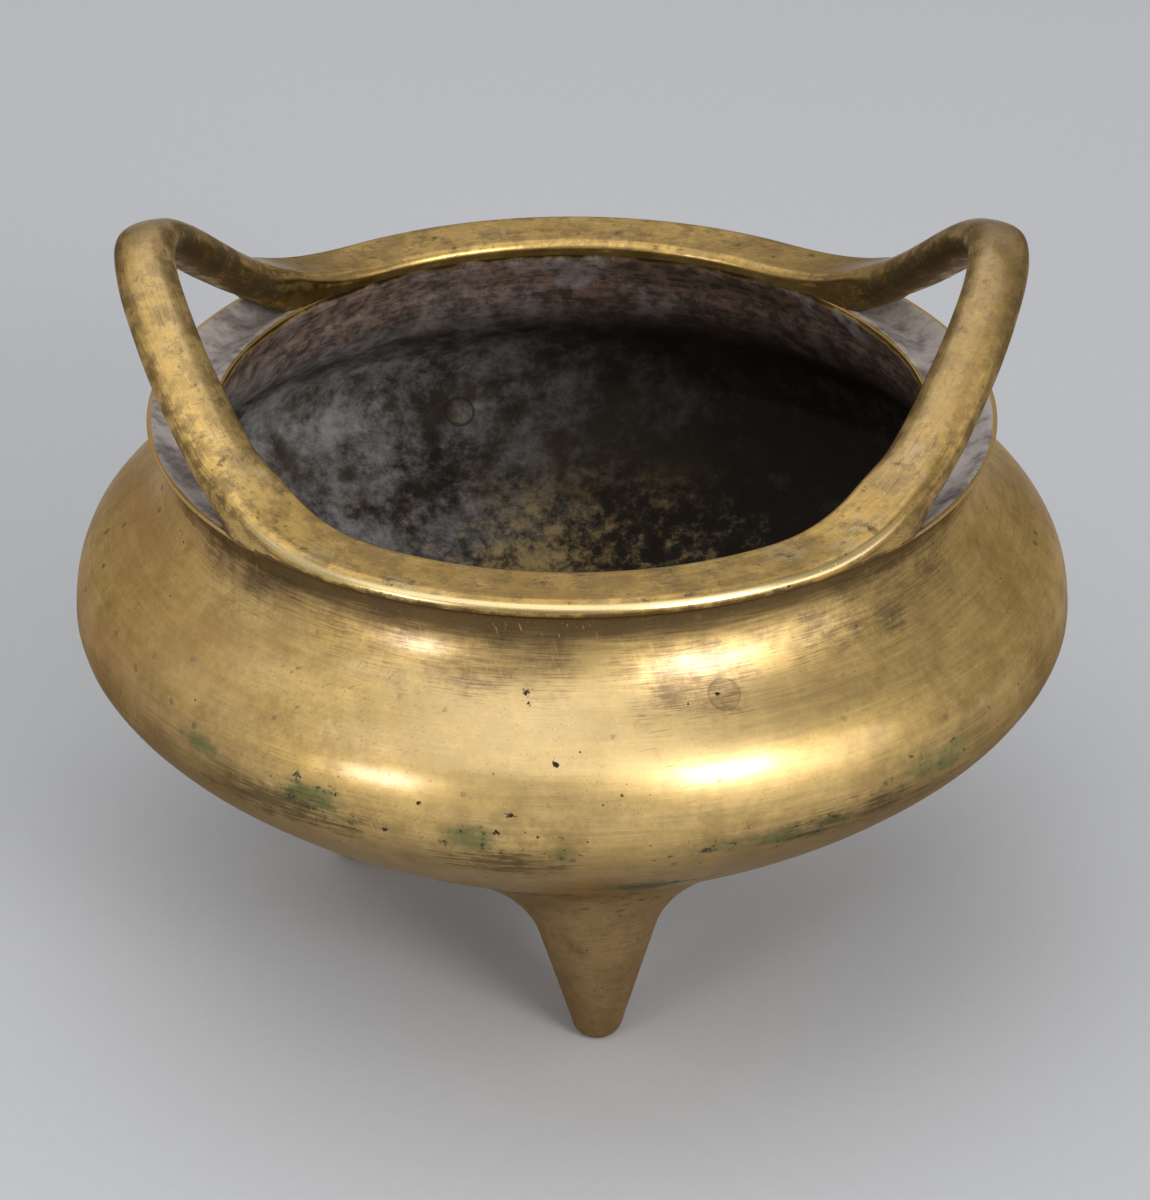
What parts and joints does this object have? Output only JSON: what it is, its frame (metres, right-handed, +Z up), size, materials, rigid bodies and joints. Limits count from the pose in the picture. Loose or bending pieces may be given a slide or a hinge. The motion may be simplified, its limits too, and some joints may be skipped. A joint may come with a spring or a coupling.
{
  "type": "tripod censer",
  "caption": "Low bulging bronze tripod censer with a flared neck, a raised rim that arches into a bridge handle on each side, and short tapered legs. Holds ash and burning incense.",
  "frame": {"origin": "on the bowl's axis at the ground, level with the leg tips", "axes": "+Z up the bowl's axis, +X through the right handle, front towards -Y"},
  "size_m": [0.15, 0.15, 0.1155],
  "materials": {
    "bowl_bronze": "satin worn bronze outside, soot-dark inside",
    "rim_bronze": "rubbed bright bronze",
    "leg_bronze": "browner worn bronze",
    "pin_bronze": "dull bronze",
    "plug_bronze": "dull bronze"
  },
  "bodies": {
    "root": {"bowl": "bowl_bronze", "rim_front": "rim_bronze", "rim_back": "rim_bronze", "handle_left": "rim_bronze", "handle_right": "rim_bronze", "handle_pin_front_left": "pin_bronze", "handle_pin_front_right": "pin_bronze", "handle_pin_back_left": "pin_bronze", "handle_pin_back_right": "pin_bronze", "leg_front": "leg_bronze", "leg_back_left": "leg_bronze", "leg_back_right": "leg_bronze", "leg_rivet_front": "pin_bronze", "leg_rivet_back_left": "pin_bronze", "leg_rivet_back_right": "pin_bronze", "core_plug_front": "plug_bronze", "core_plug_back": "plug_bronze"}
  },
  "joints": []
}
